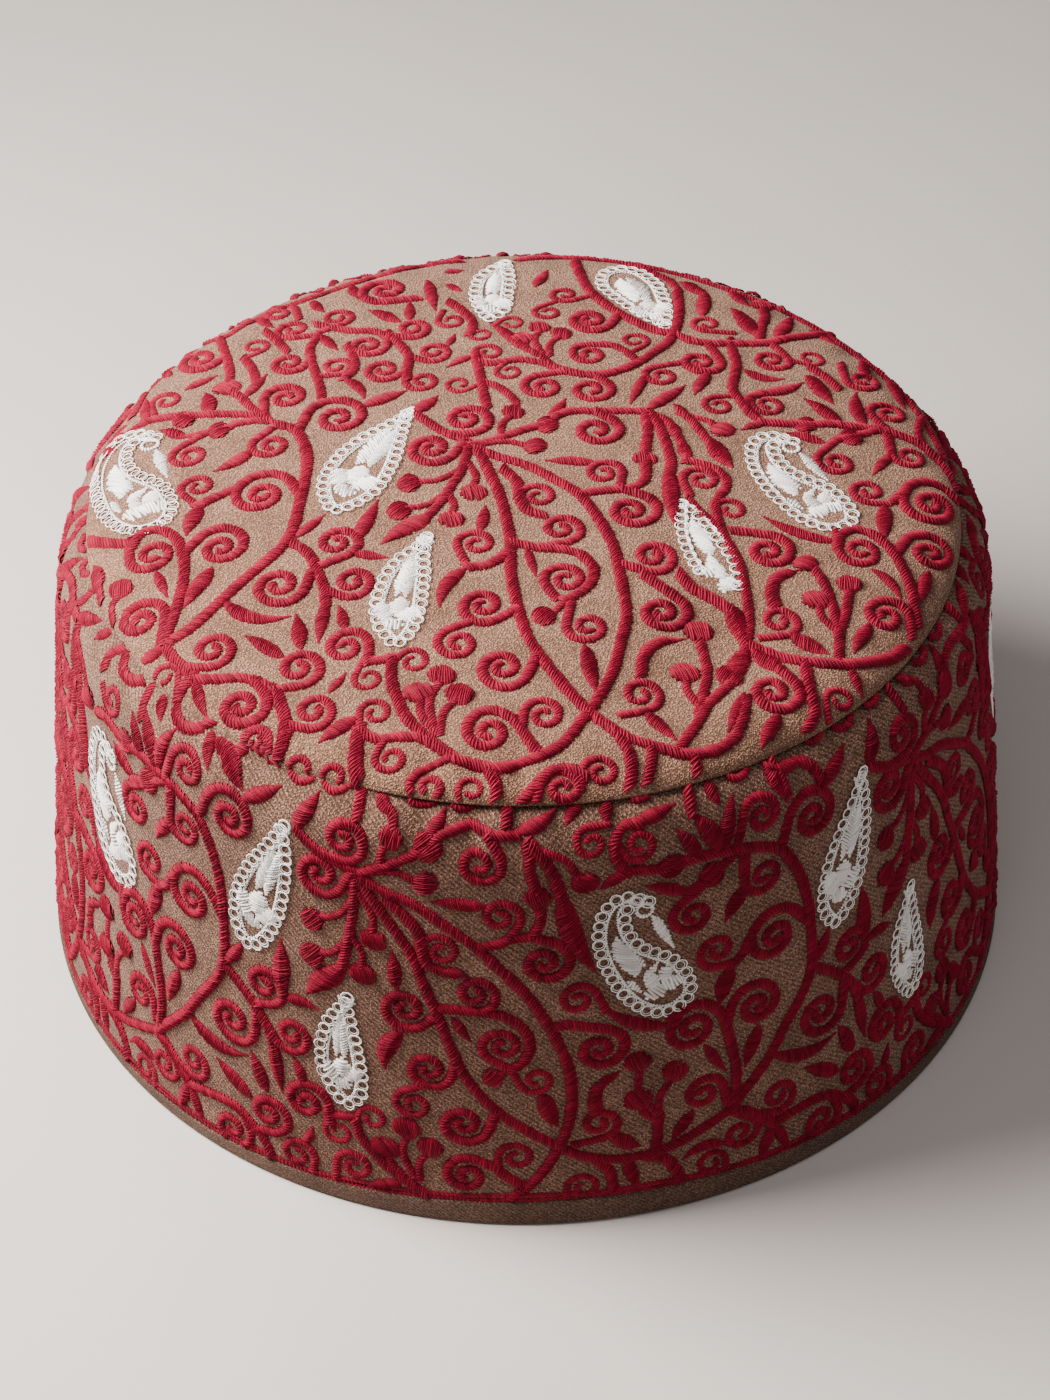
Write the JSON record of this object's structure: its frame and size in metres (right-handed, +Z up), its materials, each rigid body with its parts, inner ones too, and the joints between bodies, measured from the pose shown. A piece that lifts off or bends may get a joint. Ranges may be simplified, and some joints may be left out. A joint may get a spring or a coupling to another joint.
{
  "type": "topi cap",
  "caption": "Round brimless topi cap of embroidered wool cloth: gently domed crown sewn to a tall tapered side band with a bound foot, hollow below for a head.",
  "frame": {"origin": "centre of the foot ring, on the plane of the flat underside that the cap stands on", "axes": "+Z up through the middle of the crown; -Y to the side that faces the viewer; +X to the viewer's right"},
  "size_m": [0.19, 0.19, 0.1027],
  "materials": {
    "crown_wool": "heathered tan wool with a fine pebbly weave, matte",
    "band_wool": "heathered brown-tan wool with a diagonal twill, matte",
    "binding_wool": "plain bias-cut twill, matte",
    "red_thread": "raised satin stitch in red thread, soft sheen",
    "white_thread": "off-white needle lace and satin stitch"
  },
  "bodies": {
    "root": {"crown": "crown_wool", "side_band": "band_wool", "hem_binding": "binding_wool"}
  },
  "joints": []
}
